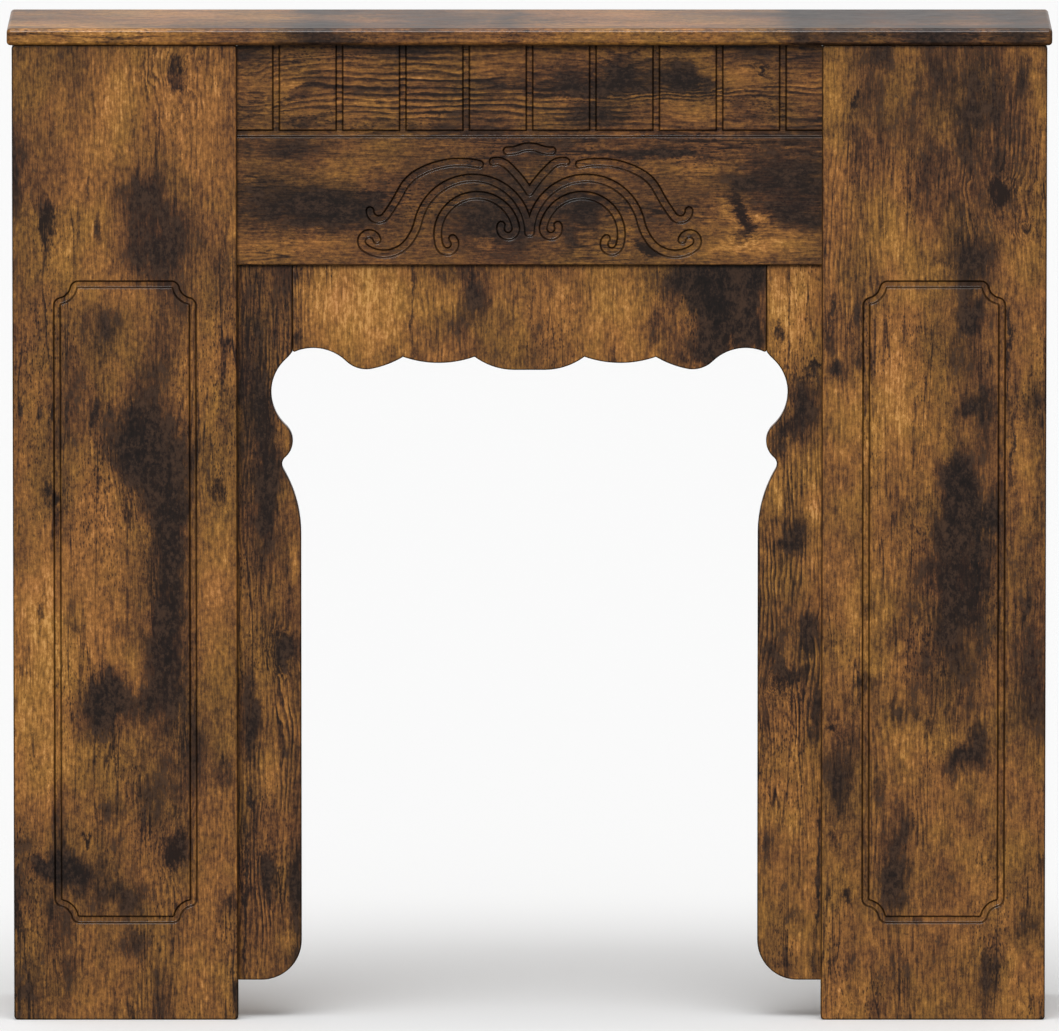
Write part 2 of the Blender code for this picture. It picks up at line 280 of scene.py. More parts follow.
def shaped_board(name, outline, node, radius, below=math.inf):
    """Make a board from its outline, with its front and back where the node's are. Its front edges are
    rounded, or only those below a height."""
    node_low, node_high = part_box(node)
    points = [point for point, following in zip(outline, outline[1:] + outline[:1])
              if math.dist(point, following) > SAME_PLACE]
    shape = bmesh.new()
    front = [shape.verts.new((x, node_low.y, z)) for x, z in points]
    back = [shape.verts.new((x, node_high.y, z)) for x, z in points]
    shape.faces.new(front)
    shape.faces.new(back)
    for index in range(len(points)):
        shape.faces.new((front[index - 1], front[index], back[index], back[index - 1]))
    solid = solid_from(name, shape)

    def is_front_rim(edge):
        start, end = (vert.co for vert in edge.verts)
        on_front = max(start.y, end.y) < node_low.y + SAME_PLACE
        return on_front and edge.calc_face_angle(0) > RIM_ANGLE and (start.z + end.z) / 2 < below

    round_edges(solid, radius, is_front_rim)
    return solid


print("an edge is rounded in", ROUNDING_FACETS, "facets")

# %% [markdown]
# The lines are routed with one kind of bit: a flat tip, a sloped side, and soft corners where the film
# bridges the floor and the rim. Half of its section is walked like any other line, from the middle of the
# tip out past the face of the board.

# %% The router bit
GROOVE_DEPTH = 0.0036
FLOOR_CORNER = 0.0009  # radius where the wall meets the floor
RIM_CORNER = 0.0011  # radius where the wall meets the face
RIM_LEAN = 9  # degrees left between the last facet and the face
RIM_RUN_OUT = 0.00015  # length of that facet past the corner
PROUD = 0.0004  # how far the bit stands out of the face
PANEL_BIT = (0.0079, 0.0055)  # width at the face and at the floor


def half_section(width, floor):
    """Walk half of the bit's section."""
    slope = math.degrees(math.atan2(GROOVE_DEPTH, (width - floor) / 2))
    floor_run = FLOOR_CORNER * math.tan(math.radians(slope / 2))
    rim_run = RIM_CORNER * math.tan(math.radians(slope / 2))
    wall = math.hypot(GROOVE_DEPTH, (width - floor) / 2) - floor_run - rim_run
    steps = (
        ("line", floor / 2 - floor_run),
        ("arc", FLOOR_CORNER, slope),
        ("line", wall),
        ("arc", RIM_CORNER, RIM_LEAN - slope),
        ("line", RIM_RUN_OUT),
        ("corner", 90 - RIM_LEAN),
        ("line", PROUD),
    )
    return walk((0, -GROOVE_DEPTH), 0, steps)


print("half of the panel bit's section has", len(half_section(*PANEL_BIT)), "points")

# %% [markdown]
# A line on a board is drawn as a flat curve that stands upright. Blender can sweep a closed section along
# such a curve. The result is welded, and edges that its shape doesn't need are taken out, so that it cuts
# cleanly.

# %% Curves that become solids
WELD = 0.000005
IN_PLANE = 0.0002  # radians between faces that count as one plane


def drawn_curve(name, points, closed):
    """Make a flat curve that stands in the XZ plane with its face to -Y."""
    curve = bpy.data.curves.new(name, "CURVE")
    curve.dimensions = "2D"
    spline = curve.splines.new("POLY")
    spline.points.add(len(points) - 1)
    for point, (x, z) in zip(spline.points, points):
        point.co = (x, z, 0, 1)
    spline.use_cyclic_u = closed
    item = new_object(name, curve)
    item.rotation_euler.x = math.pi / 2
    return item


def curve_to_mesh(item):
    """Replace a curve by a welded mesh in world space."""
    bpy.context.view_layer.update()
    evaluated = item.evaluated_get(bpy.context.evaluated_depsgraph_get())
    mesh = bpy.data.meshes.new_from_object(evaluated)
    mesh.transform(item.matrix_world)
    shape = bmesh.new()
    shape.from_mesh(mesh)
    bmesh.ops.remove_doubles(shape, verts=shape.verts, dist=WELD)
    bmesh.ops.dissolve_limit(shape, angle_limit=IN_PLANE, verts=shape.verts, edges=shape.edges)
    name = item.name
    bpy.data.objects.remove(item, do_unlink=True)
    bpy.data.meshes.remove(mesh)
    return solid_from(name, shape)


print("points closer than %.3f mm are welded" % (WELD * 1000))

# %% [markdown]
# The bit's section is swept along each line, as the machine moves the bit. At the free ends a turned copy
# of the bit, spun from half the section, leaves the round end that a real bit leaves.

# %% Sweeping and turning the bit
SPIN_STEPS = 40


def swept_bit(name, points, closed, width, floor, front):
    """Sweep the bit's section along a line that lies in the face."""
    half = half_section(width, floor)
    section = drawn_curve(name + "_section", half[1:] + flip(half[1:]), True)
    route = drawn_curve(name, points, closed)
    route.data.fill_mode = "NONE"
    route.data.bevel_mode = "OBJECT"
    route.data.bevel_object = section
    route.data.use_fill_caps = not closed
    route.location.y = front
    solid = curve_to_mesh(route)
    bpy.data.objects.remove(section, do_unlink=True)
    return solid


def turned_bit(name, place, width, floor, front):
    """Spin half of the bit's section about its axis, at one end of a line."""
    shape = bmesh.new()
    half = half_section(width, floor)
    half.append((0, half[-1][1]))
    verts = [shape.verts.new((x, -z, 0)) for x, z in half]
    edges = [shape.edges.new(pair) for pair in zip(verts, verts[1:])]
    bmesh.ops.spin(shape, geom=verts + edges, cent=(0, 0, 0), axis=(0, 1, 0), angle=math.tau,
                   steps=SPIN_STEPS, use_merge=False)
    bmesh.ops.remove_doubles(shape, verts=shape.verts, dist=WELD)
    solid = solid_from(name, shape)
    solid.data.transform(Matrix.Translation((place[0], front, place[1])))
    return solid


print("a turned end has", SPIN_STEPS, "sides")

# %% [markdown]
# All the swept and turned bits of a board are taken out of it in one Boolean, with their collection as its
# operand. The exact solver copes with strands that touch and cross.

# %% Routing lines into a board
def rout(board, cutters):
    """Take the cutters out of a board, and remove them."""
    group = bpy.data.collections.new("cutters")
    bpy.context.scene.collection.children.link(group)
    for cutter in cutters:
        bpy.context.scene.collection.objects.unlink(cutter)
        group.objects.link(cutter)
    modifier = board.modifiers.new("routed lines", "BOOLEAN")
    modifier.operation = "DIFFERENCE"
    modifier.solver = "EXACT"
    modifier.operand_type = "COLLECTION"
    modifier.collection = group
    bpy.context.view_layer.update()
    evaluated = board.evaluated_get(bpy.context.evaluated_depsgraph_get())
    mesh = bpy.data.meshes.new_from_object(evaluated)
    board.modifiers.remove(modifier)
    board.data = mesh
    for cutter in cutters:
        bpy.data.objects.remove(cutter, do_unlink=True)
    bpy.data.collections.remove(group)
    print(board.name, "is routed, with cutters:", len(cutters))


# %% [markdown]
# A rounded edge only looks round if its shading flows, while the flat faces beside it must stay flat. So
# each corner of a face takes its normal from the neighbours that lean less than a limit, and where one of
# those is a large flat face, that face wins. This is what a weighted normal does, but it isn't fooled by
# thin slivers.

# %% Smooth edges beside flat faces
SMOOTH_ANGLE = 40
SMOOTH_LIMIT = math.cos(math.radians(SMOOTH_ANGLE))
ON_AXIS = 0.99999
FLAT_AXES = [Vector(axis) for axis in ((0, -1, 0), (0, 1, 0), (1, 0, 0), (-1, 0, 0), (0, 0, 1), (0, 0, -1))]


def soften(item):
    """Give a board flowing normals on its rounded parts and true ones on its flat faces."""
    shape = bmesh.new()
    shape.from_mesh(item.data)
    shape.faces.ensure_lookup_table()
    front = min(vert.co.y for vert in shape.verts)
    main = []
    for face in shape.faces:
        if all(vert.co.y < front + SAME_PLACE for vert in face.verts):
            main.append(FLAT_AXES[0])
        else:
            main.append(next((axis for axis in FLAT_AXES if face.normal.dot(axis) > ON_AXIS), None))
    areas = [face.calc_area() for face in shape.faces]
    normals = []
    for face in shape.faces:
        for loop in face.loops:
            near = [other for other in loop.vert.link_faces if other.normal.dot(face.normal) > SMOOTH_LIMIT]
            flat = [main[other.index] for other in near if main[other.index] is not None]
            if main[face.index] is not None:
                normal = main[face.index]
            elif flat:
                normal = flat[0]
            else:
                normal = sum((other.normal * areas[other.index] for other in near), Vector())
            normals.append(normal.normalized())
    shape.free()
    item.data.shade_smooth()
    item.data.normals_split_custom_set(normals)


print("shading flows between faces that lean less than", SMOOTH_ANGLE, "degrees")

# %% [markdown]
# On the real boards the film covers the front, the edges and the outer sides, while the back is bare
# fibreboard. Two material slots do this: the faces that look back get the second one.

# %% Film in front, bare board behind
SQUARELY = 0.9  # how far a face's normal must point one way to look that way


def is_back(face):
    return face.normal.y > SQUARELY


def finish_board(item, node, film, bare, hidden=is_back):
    """Soften a board, give its faces film or bare board, and put it in the node's place."""
    item.data.materials.clear()
    item.data.materials.append(film)
    item.data.materials.append(bare)
    for face in item.data.polygons:
        face.material_index = 1 if hidden(face) else 0
    soften(item)
    lit_boards.objects.link(item)
    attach(item, "root")
    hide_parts(node)
    print(item.name, "has", len(item.data.polygons), "faces")


# %% [markdown]
# Shaders are built from many small nodes. These helpers add one node each and return the output that the
# next node reads, so that a material reads like a list of steps.

# %% Words for shader nodes
class Recipe:
    """A material that is written step by step."""

    def __init__(self, name):
        self.material = bpy.data.materials.new(name)
        self.material.use_nodes = True
        self.tree = self.material.node_tree
        self.shader = self.tree.nodes["Principled BSDF"]
        self.place = self.add("ShaderNodeTexCoord", "Object")

    def feed(self, socket, value):
        if isinstance(value, bpy.types.NodeSocket):
            self.tree.links.new(value, socket)
        else:
            socket.default_value = value

    def add(self, kind, output=0, settings=None, **inputs):
        """Add a node and feed its inputs, which are named as Blender names them."""
        node = self.tree.nodes.new(kind)
        for key, value in (settings or {}).items():
            setattr(node, key, value)
        for key, value in inputs.items():
            self.feed(node.inputs[key.capitalize()], value)
        return node.outputs[output]

    def sum(self, operation, *values):
        """Combine two or three numbers."""
        node = self.tree.nodes.new("ShaderNodeMath")
        node.operation = operation
        for socket, value in zip(node.inputs, values):
            self.feed(socket, value)
        return node.outputs[0]

    def move(self, operation, *vectors):
        """Combine two or three places."""
        node = self.tree.nodes.new("ShaderNodeVectorMath")
        node.operation = operation
        for socket, vector in zip(node.inputs, vectors):
            self.feed(socket, vector)
        return node.outputs[0]


print("steps of a recipe:", ", ".join(step for step in vars(Recipe) if not step.startswith("_")))

# %% [markdown]
# On top of those come the words for patterns: noise in a stretched space, soft spots, smooth steps from one
# value to another, and colours that are looked up or mixed.

# %% Words for patterns
class Pattern(Recipe):
    """A recipe with noise, spots and colours."""

    def noise(self, vector, scale, detail, roughness, output=0):
        return self.add("ShaderNodeTexNoise", output, None, vector=vector, scale=scale, detail=detail,
                        roughness=roughness)

    def stretch(self, vector, scale):
        return self.add("ShaderNodeMapping", 0, {"vector_type": "POINT"}, vector=vector, scale=scale)

    def spot(self, vector, middle, radii):
        """A soft spot: 1 in the middle, falling evenly to 0 at the radii."""
        local = self.add("ShaderNodeMapping", 0, {"vector_type": "TEXTURE"}, vector=vector, scale=radii,
                         location=middle)
        return self.add("ShaderNodeTexGradient", 1, {"gradient_type": "SPHERICAL"}, vector=local)

    def between(self, value, low, high, low_out=0.0, high_out=1.0):
        """Map a range smoothly to another."""
        node = self.tree.nodes.new("ShaderNodeMapRange")
        node.interpolation_type = "SMOOTHSTEP"
        for socket, item in zip(node.inputs, (value, low, high, low_out, high_out)):
            self.feed(socket, item)
        return node.outputs[0]

    def ramp(self, value, stops):
        node = self.tree.nodes.new("ShaderNodeValToRGB")
        elements = node.color_ramp.elements
        while len(elements) < len(stops):
            elements.new(0.5)
        for element, (position, colour) in zip(elements, stops):
            element.position = position
            element.color = (*colour, 1)
        self.feed(node.inputs[0], value)
        return node.outputs[0]

    def blend(self, mode, factor, under, over):
        node = self.tree.nodes.new("ShaderNodeMix")
        node.data_type = "RGBA"
        node.blend_type = mode
        self.feed(node.inputs[0], factor)
        self.feed(node.inputs[6], under)
        self.feed(node.inputs[7], over)
        return node.outputs[2]


print("words for patterns:", ", ".join(word for word in vars(Pattern) if not word.startswith("_")))

# %% [markdown]
# The print shows old softwood in browns from nearly black to pale gold. All its layers add up to one tone
# from 0 to 1, and a colour ramp turns the tone into the browns. Sooty patches have their own, greyer ramp.
# Colours are written as a screen shows them, and are turned into the linear ones that a shader wants.

# %% Colours of the print
def screen_colour(red, green, blue):
    """Turn a screen's colour, 0 to 255, into a linear one by the usual sRGB formula."""
    shares = (red / 255, green / 255, blue / 255)
    return tuple(((v + 0.055) / 1.055) ** 2.4 if v > 0.04 else v / 12.92 for v in shares)


TONES = (
    (0.00, screen_colour(29, 18, 13)),
    (0.12, screen_colour(43, 28, 20)),
    (0.26, screen_colour(64, 42, 27)),
    (0.40, screen_colour(87, 58, 34)),
    (0.54, screen_colour(109, 74, 40)),
    (0.70, screen_colour(133, 91, 46)),
    (0.85, screen_colour(157, 109, 57)),
    (1.00, screen_colour(188, 137, 82)),
)
SOOT = (
    (0.15, screen_colour(12, 7, 5)),
    (0.45, screen_colour(28, 19, 15)),
    (0.80, screen_colour(60, 43, 32)),
)
print(len(TONES), "browns and", len(SOOT), "sooty tones")

# %% [markdown]
# Every layer of the print is noise at its real size, stretched along the grain. Large patches, knots and
# clear cracks are listed one by one instead, as marks in mm from the middle of the floor line, because the
# eye knows a board by them. The space they are placed in is torn by noise, so that their borders come out
# ragged.

# %% Noise along the grain
MM = 0.001
SEED_STEPS = (1.0, 0.37, 0.61)  # how far a board's seed moves its noise along each axis
RAGGED = (34, 14)  # features of the ragged borders per metre, across the grain and along it
RAGGED_DETAIL = (6.0, 0.72)  # octaves and roughness
RAGGED_REACH = (0.040, 0.090)  # metres from one extreme to the other, across the grain and along it
MIDDLE = 0.5  # noise lies evenly around this value
THROUGH = 10  # depth of a mark, so that it goes right through the board


class Print(Pattern):
    """A recipe whose layers run along the grain of one board."""

    def __init__(self, name, along, seed):
        super().__init__(name)
        self.along = along
        self.sheet = self.move("ADD", self.place, [seed * step for step in SEED_STEPS])
        ragged = self.noise(self.stretch(self.sheet, self.grain(*RAGGED)), 1.0, *RAGGED_DETAIL, output=1)
        ragged = self.move("SUBTRACT", ragged, (MIDDLE, MIDDLE, MIDDLE))
        self.torn = self.move("MULTIPLY_ADD", ragged, self.grain(*RAGGED_REACH), self.place)

    def grain(self, across, lengthwise):
        """Give the three axes a value each, for across the grain and along it."""
        return (across, across, lengthwise) if self.along == "up" else (lengthwise, across, across)

    def layer(self, across, lengthwise, detail, roughness):
        """Noise around 0, with its features per metre across the grain and along it."""
        stretched = self.stretch(self.sheet, self.grain(across, lengthwise))
        return self.sum("SUBTRACT", self.noise(stretched, 1.0, detail, roughness), MIDDLE)

    def pile(self, total, *layers):
        """Add layers to a total, each with its strength."""
        for layer, strength in layers:
            total = self.sum("MULTIPLY_ADD", layer, strength, total)
        return total

    def mark(self, x, z, half_width, half_height):
        """A soft spot with ragged borders, placed in mm."""
        return self.spot(self.torn, (x * MM, 0, z * MM), (half_width * MM, THROUGH, half_height * MM))

    def add_marks(self, marks, reach, total):
        """Add marks to a total, where reach is how far the soft edge of a mark goes beyond its size."""
        return self.pile(total, *(
            (self.mark(x, z, reach * half_width, reach * half_height), strength)
            for x, z, half_width, half_height, strength in marks))


print("borders are torn by up to %.0f mm across the grain" % (RAGGED_REACH[0] / 2 / MM))

# %% [markdown]
# Smoke-dark patches are the broadest layer of the print. A cloud of noise is piled up with the marks and
# with the finer layers, so that a patch breaks up into mottle and streaks where it ends.

# %% Smoke
CLOUD = (8.5, 3.4, 6.0, 0.65)  # features per metre across and along the grain, octaves, roughness
MOTTLE = (60, 30, 6.0, 0.78)
FLECK = (220, 150, 4.0, 0.78)
STREAK = (95, 7, 5.0, 0.72)
FIBRE = (520, 60, 3.0, 0.65)
MARK_REACH = 1.8
SMOKE_LEVEL = 0.05  # how sooty the print is away from all patches
SMOKE_STRENGTHS = (3.2, 3.6, 2.0, 0.7)  # of cloud, mottle, fleck and streak


def smoke_layer(wood, marks, mottle, fleck, streak):
    """How sooty the print is: over about 0.4 it turns dark, and under 0 it is rubbed golden."""
    cloud_strength, *finer_strengths = SMOKE_STRENGTHS
    smoke = wood.pile(SMOKE_LEVEL, (wood.layer(*CLOUD), cloud_strength))
    smoke = wood.add_marks(marks, MARK_REACH, smoke)
    return wood.pile(smoke, *zip((mottle, fleck, streak), finer_strengths))


print("clouds are about %.0f by %.0f mm" % (1 / CLOUD[0] / MM, 1 / CLOUD[1] / MM))

# %% [markdown]
# Growth lines run along the grain, one every few millimetres, and each darkens slowly and ends sharply, as
# summer growth does. Counting them along one axis gives straight lines. Noise added to the count makes them
# wander, and a bump added around a knot makes them bend around it. They show only in some stretches.

# %% Growth lines
WANDER = (20, 6, 4.0, 0.55)
WANDER_REACH = 36.0  # mm from one extreme to the other
KNOT_REACH = 26.0  # mm by which the lines bend at the middle of a knot
KNOT_SPREAD = (4.5, 4.0)  # size of the bend across and up, as a multiple of the knot's
KNOT_FALL = 2.0  # how steeply the bend falls away
STRETCHES = (12, 3, 3.0, 0.6)
STRETCHES_SHOW = (-0.08, 0.16, 0.0, 0.5)  # noise from and to, and how clearly the lines show there
PATCHES = (50, 6, 4.0, 0.6)
PATCHES_SHOW = (-0.12, 0.12, 0.15, 1.3)
RING = ((0.0, 0.0), (0.35, 0.25), (0.70, 1.0), (0.88, 0.9), (1.0, 0.0))  # place in a line, darkness
RING_MEAN = 0.40


def growth_lines(wood, knots, figure, ring_pitch):
    """The growth lines, which darken the print where this is above 0."""
    wave = wood.sum("MULTIPLY", wood.layer(*WANDER), WANDER_REACH / ring_pitch)
    for x, z, half_width, half_height, _ in knots:
        bump = wood.mark(x, z, KNOT_SPREAD[0] * half_width, KNOT_SPREAD[1] * half_height)
        wave = wood.pile(wave, (wood.sum("POWER", bump, KNOT_FALL), KNOT_REACH / ring_pitch))
    across = wood.add("ShaderNodeSeparateXYZ", 0 if wood.along == "up" else 2, None, vector=wood.sheet)
    count = wood.sum("FRACT", wood.sum("MULTIPLY_ADD", across, 1 / (ring_pitch * MM), wave))
    line = wood.ramp(count, [(position, (grey,) * 3) for position, grey in RING])
    showing = wood.between(wood.layer(*STRETCHES), *STRETCHES_SHOW)
    showing = wood.add_marks(figure, MARK_REACH, showing)
    showing = wood.sum("MULTIPLY", showing, wood.between(wood.layer(*PATCHES), *PATCHES_SHOW))
    return wood.sum("MULTIPLY", wood.sum("SUBTRACT", line, RING_MEAN), showing)


print("lines wander by up to %.0f mm to each side" % (WANDER_REACH / 2))

# %% [markdown]
# Old wood is pitted and cracked, and worst in the same stretches. Pits are the middles of the cells of a
# Voronoi pattern, drawn out along the grain. A crack is where a noise that is stretched far along the grain
# passes through 0, which gives a long thin line that wanders.

# %% Pits and cracks
WORN = (16, 6, 4.0, 0.6)
PIT_SCALE = 420.0
PIT_STRETCH = (1, 0.4)
PIT_SIZES = (-0.10, 0.20, 0.04, 0.36)  # wear from and to, and the pits' size there, as a share of a cell
PIT_EDGE = 0.04  # half the width of a pit's soft edge
CRACK = (36, 2.2, 3.0, 0.55)
CRACK_EDGE = (0.002, 0.016, 1.0, 0.0)  # noise from and to, and how dark the crack is there
CRACK_STRENGTH = (-0.08, 0.10, 0.0, 0.34)  # wear from and to, and how strongly the cracks show there


def pit_layer(wood, worn):
    """Where the print shows a pit, from 0 to 1."""
    cells = wood.stretch(wood.sheet, wood.grain(*PIT_STRETCH))
    from_middle = wood.add("ShaderNodeTexVoronoi", 0, None, vector=cells, scale=PIT_SCALE)
    inside = wood.sum("SUBTRACT", wood.between(worn, *PIT_SIZES), from_middle)
    return wood.between(inside, -PIT_EDGE, PIT_EDGE)


def crack_layer(wood, worn):
    """How much darker the print is in a crack."""
    crack = wood.between(wood.sum("ABSOLUTE", wood.layer(*CRACK)), *CRACK_EDGE)
    return wood.sum("MULTIPLY", crack, wood.between(worn, *CRACK_STRENGTH))


print("pits are about %.1f mm apart" % (1 / PIT_SCALE / MM))

# %% [markdown]
# The tone becomes a colour, a little redder in some places and more golden in others, and turns to soot
# where the smoke is thick. Shade is painted into the colour as well: it is darkened where the surface leans
# away from the front, on the walls of a routed line and round a rounded rim. On a board's square side this
# painted shade ends.

# %% Colour of the film
HUES = (16, 12, 4.0, 0.6)
HUES_CHANGE = (-0.15, 0.18)  # noise where the film is redder, and where it is more golden
REDDER = (1.03, 0.95, 0.94, 1)
GOLDEN = (1.0, 1.03, 0.84, 1)
SOOT_CONTRAST = 1.9
SOOT_COVERS = (0.36, 0.86, 0.0, 0.90)  # smoke from and to, and how much of the wood the soot hides there
# Painted shade: the colour is darkened where the normal leans away from the front, on groove walls and
# rounded rims.
PAINTED_SHADE_LEAN = (-0.998, -0.88)  # Y of a normal where a rim starts to darken, and where it is darkest
SQUARE_SIDE = (-0.22, -0.05)  # Y of a normal where the darkness starts to end, and where it has ended


def film_colour(wood, tone, smoke, specks, painted_shade):
    """Turn tone and smoke into the film's colour, with painted shade: the last argument is how much darker
    the colour is made on the walls of routed lines and on rounded rims.
    """
    colour = wood.ramp(tone, TONES)
    redder = wood.blend("MULTIPLY", 1.0, colour, REDDER)
    golden = wood.blend("MULTIPLY", 1.0, colour, GOLDEN)
    colour = wood.blend("MIX", wood.between(wood.layer(*HUES), *HUES_CHANGE), redder, golden)
    soot = wood.ramp(wood.sum("MULTIPLY_ADD", specks, SOOT_CONTRAST, MIDDLE), SOOT)
    colour = wood.blend("MIX", wood.between(smoke, *SOOT_COVERS), colour, soot)
    # Painted shade on the walls of routed lines and on rounded rims, ended again on square sides.
    geometry = wood.tree.nodes.new("ShaderNodeNewGeometry")
    facing = wood.add("ShaderNodeSeparateXYZ", 1, None, vector=geometry.outputs["Normal"])
    lean_shade = wood.between(facing, *PAINTED_SHADE_LEAN, 1.0, 1.0 - painted_shade)
    side = wood.between(facing, *SQUARE_SIDE, 1.0 - painted_shade, 1.0)
    return wood.blend("MULTIPLY", 1.0, colour, wood.sum("MAXIMUM", lean_shade, side))


print("the film darkens where it leans more than %.0f degrees" % math.degrees(math.acos(-PAINTED_SHADE_LEAN[0])))

# %% [markdown]
# All the layers come together here. The film is satin: fairly rough, with a thin clear coat. Its relief is
# pressed in with the fibres, and is far too fine to be modelled, so it stays a bump.

# %% The printed wood
CORE_REACH = 1.7
CORE = (0.08, 0.70, 0.0, 0.52)  # knot from and to, and how much darker the print is there
FILM_ROUGHNESS = (-0.2, 0.2, 0.42, 0.34)  # mottle from and to, and how rough the film is there
FILM_GLOSS = 0.12
COAT = 0.30
COAT_ROUGHNESS = 0.16
RELIEF_STRENGTH = 0.12
RELIEF_HEIGHT = 0.0004


def printed_wood(name, along, marks=(), knots=(), figure=(), seed=0.0, base=0.60, ring_pitch=6.0,
                 painted_shade=0.72):
    """Make one board's film. along is "up" or "across". Marks (smoke, or gold where the strength is
    negative), knots and figure (where growth lines show) are placed in mm: (across, up, half width,
    half height, strength). The last argument is how much shade is painted into routed lines and onto rounded
    rims."""
    wood = Print(name, along, seed)
    mottle, fleck, streak, fibre = (wood.layer(*layer) for layer in (MOTTLE, FLECK, STREAK, FIBRE))
    smoke = smoke_layer(wood, marks, mottle, fleck, streak)
    line = growth_lines(wood, knots, figure, ring_pitch)
    worn = wood.layer(*WORN)
    core = wood.between(wood.add_marks(knots, CORE_REACH, 0.0), *CORE)
    tone = wood.pile(base, (fibre, 0.9), (fleck, 2.0), (streak, 0.6), (mottle, 1.5), (line, -0.36),
                     (smoke, -0.40), (pit_layer(wood, worn), -0.28))
    for darker in (crack_layer(wood, worn), core):
        tone = wood.sum("SUBTRACT", tone, darker)
    colour = film_colour(wood, tone, smoke, wood.sum("ADD", fleck, mottle), painted_shade)
    wood.feed(wood.shader.inputs["Base Color"], colour)
    wood.feed(wood.shader.inputs["Roughness"], wood.between(mottle, *FILM_ROUGHNESS))
    wood.shader.inputs["Specular IOR Level"].default_value = FILM_GLOSS
    wood.shader.inputs["Coat Weight"].default_value = COAT
    wood.shader.inputs["Coat Roughness"].default_value = COAT_ROUGHNESS
    relief = wood.tree.nodes.new("ShaderNodeBump")
    relief.inputs["Strength"].default_value = RELIEF_STRENGTH
    relief.inputs["Distance"].default_value = RELIEF_HEIGHT
    wood.feed(relief.inputs["Height"], fibre)
    wood.feed(wood.shader.inputs["Normal"], relief.outputs[0])
    print(name, "has", len(wood.tree.nodes), "nodes")
    return wood.material


# %% [markdown]
# The backs are bare fibreboard: pale brown, dull, with an even fleck of fibres and a faint cloudiness. Two
# sizes of noise make it, because nothing in it has a direction.

# %% Bare fibreboard
BARE_FLECK = (900, 3.0, 0.7)  # features per metre, octaves, roughness
BARE_CLOUD = (12, 3.0, 0.5)
BARE_TONES = ((0.25, screen_colour(139, 108, 76)), (0.8, screen_colour(186, 152, 113)))
BARE_ROUGHNESS = 0.8


def bare_fibreboard():
    """Make the plain back of a board."""
    board = Pattern("bare_fibreboard")
    fleck = board.noise(board.place, *BARE_FLECK)
    cloud = board.noise(board.place, *BARE_CLOUD)
    tone = board.sum("MULTIPLY_ADD", cloud, 0.5, board.sum("MULTIPLY", fleck, 0.6))
    board.feed(board.shader.inputs["Base Color"], board.ramp(tone, BARE_TONES))
    board.shader.inputs["Roughness"].default_value = BARE_ROUGHNESS
    return board.material


bare = bare_fibreboard()
print(bare.name, "has", len(bare.node_tree.nodes), "nodes")

# %% [markdown]
# The pilasters are the two broad boards in front. Each carries one closed line: a rectangle whose corners
# are notched inwards by an arc and eased by small fillets. All of it follows from the board's own box and a
# few margins, so the right one is the left one mirrored, with its own print.

# %% Panel line of a pilaster
PILASTER_CORNER = 0.004
PANEL_SIDE_MARGIN = 0.047
PANEL_FOOT_MARGIN = 0.107
PANEL_HEAD_MARGIN = 0.2537
NOTCH_RADIUS = 0.018
FILLET_RADIUS = 0.005


def rounded_rectangle(left, right, foot, head, radius):
    corner = ("arc", radius, 90)
    across = ("line", right - left - 2 * radius)
    up = ("line", head - foot - 2 * radius)
    return walk((left + radius, foot), 0, (across, corner, up, corner, across, corner, up, corner))[:-1]


def panel_line(node):
    """Walk the closed line on a pilaster."""
    node_low, node_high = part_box(node)
    width = node_high.x - node_low.x - 2 * PANEL_SIDE_MARGIN
    height = node_high.z - PANEL_HEAD_MARGIN - PANEL_FOOT_MARGIN
    reach = math.sqrt((NOTCH_RADIUS + FILLET_RADIUS) ** 2 - FILLET_RADIUS ** 2)
    turn = 90 - math.degrees(math.atan2(FILLET_RADIUS, reach))
    fillet = ("arc", FILLET_RADIUS, turn)
    corner = (fillet, ("arc", NOTCH_RADIUS, 90 - 2 * turn), fillet)
    across = ("line", width - 2 * reach)
    up = ("line", height - 2 * reach)
    start = (node_low.x + PANEL_SIDE_MARGIN + reach, PANEL_FOOT_MARGIN)
    return walk(start, 0, (across, *corner, up, *corner, across, *corner, up, *corner))[:-1]


print("a panel line has", len(panel_line("pilaster_left")), "points")

# %% [markdown]
# The left pilaster's print: sooty patches down its middle, two long knots above and a knot at its foot,
# with rubbed gold along its outer edge. Very thin marks are the cracks, and a knot of strength 0 has no dark
# core and only bends the growth lines.

